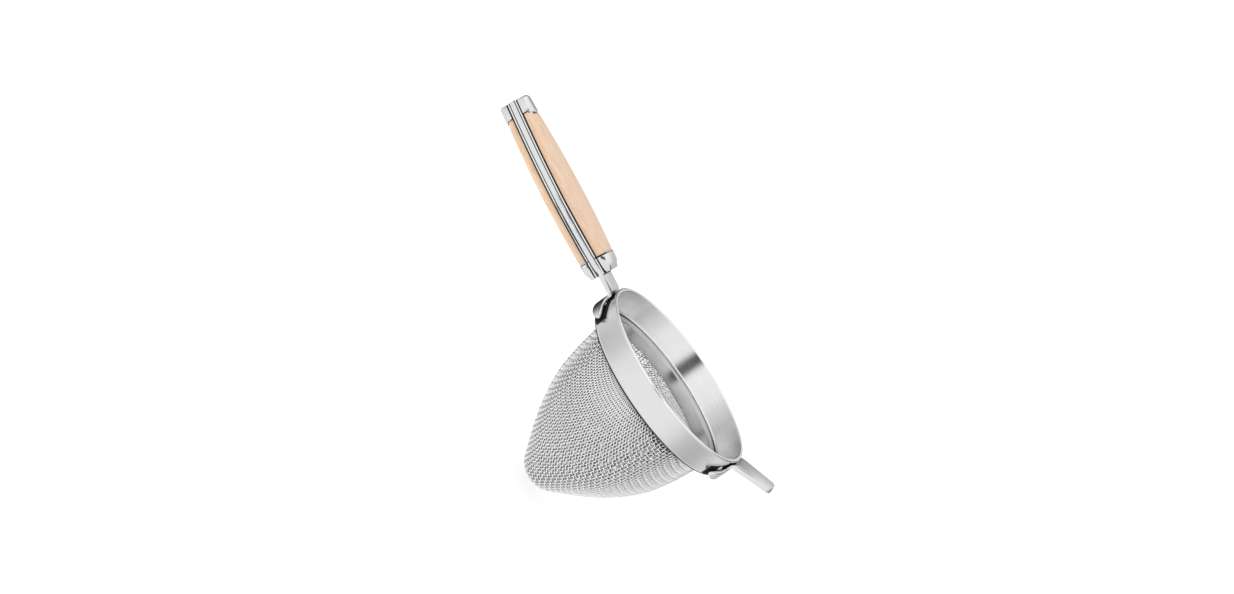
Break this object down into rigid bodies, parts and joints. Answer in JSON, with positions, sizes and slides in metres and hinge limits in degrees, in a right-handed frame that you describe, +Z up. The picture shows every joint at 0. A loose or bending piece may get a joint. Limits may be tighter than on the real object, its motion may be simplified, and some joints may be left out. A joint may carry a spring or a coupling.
{
  "type": "hand strainer",
  "caption": "Hand strainer with a steel rim band, nested coarse and fine wire-cloth sieves, a wood-scaled knife-style handle and a rest hook.",
  "frame": {"origin": "centre of the plane on which the strainer hangs over a vessel, on the basket's axis", "axes": "+X towards the rest hook, -X towards the handle, +Z up out of the basket's mouth"},
  "size_m": [0.2696, 0.12, 0.1338],
  "materials": {
    "rim_steel": "satin, finely brushed round the band",
    "ring_steel": "satin",
    "arm_steel": "satin",
    "polished_steel": "polished, faintly brushed",
    "wire": "bright drawn wire",
    "beech": "light, sanded, lightly sealed"
  },
  "bodies": {
    "root": {"rim_band": "rim_steel", "clamp_ring": "ring_steel", "outer_sieve": "wire", "inner_sieve": "wire", "hook_bar": "arm_steel", "handle_bar": "arm_steel", "top_liner": "polished_steel", "bottom_liner": "polished_steel", "top_scale": "beech", "bottom_scale": "beech", "top_front_bolster": "polished_steel", "bottom_front_bolster": "polished_steel", "top_rear_bolster": "polished_steel", "bottom_rear_bolster": "polished_steel", "front_bolster_pin": "arm_steel", "scale_pin_1": "arm_steel", "scale_pin_2": "arm_steel", "scale_pin_3": "arm_steel", "rear_bolster_pin": "arm_steel"}
  },
  "joints": []
}
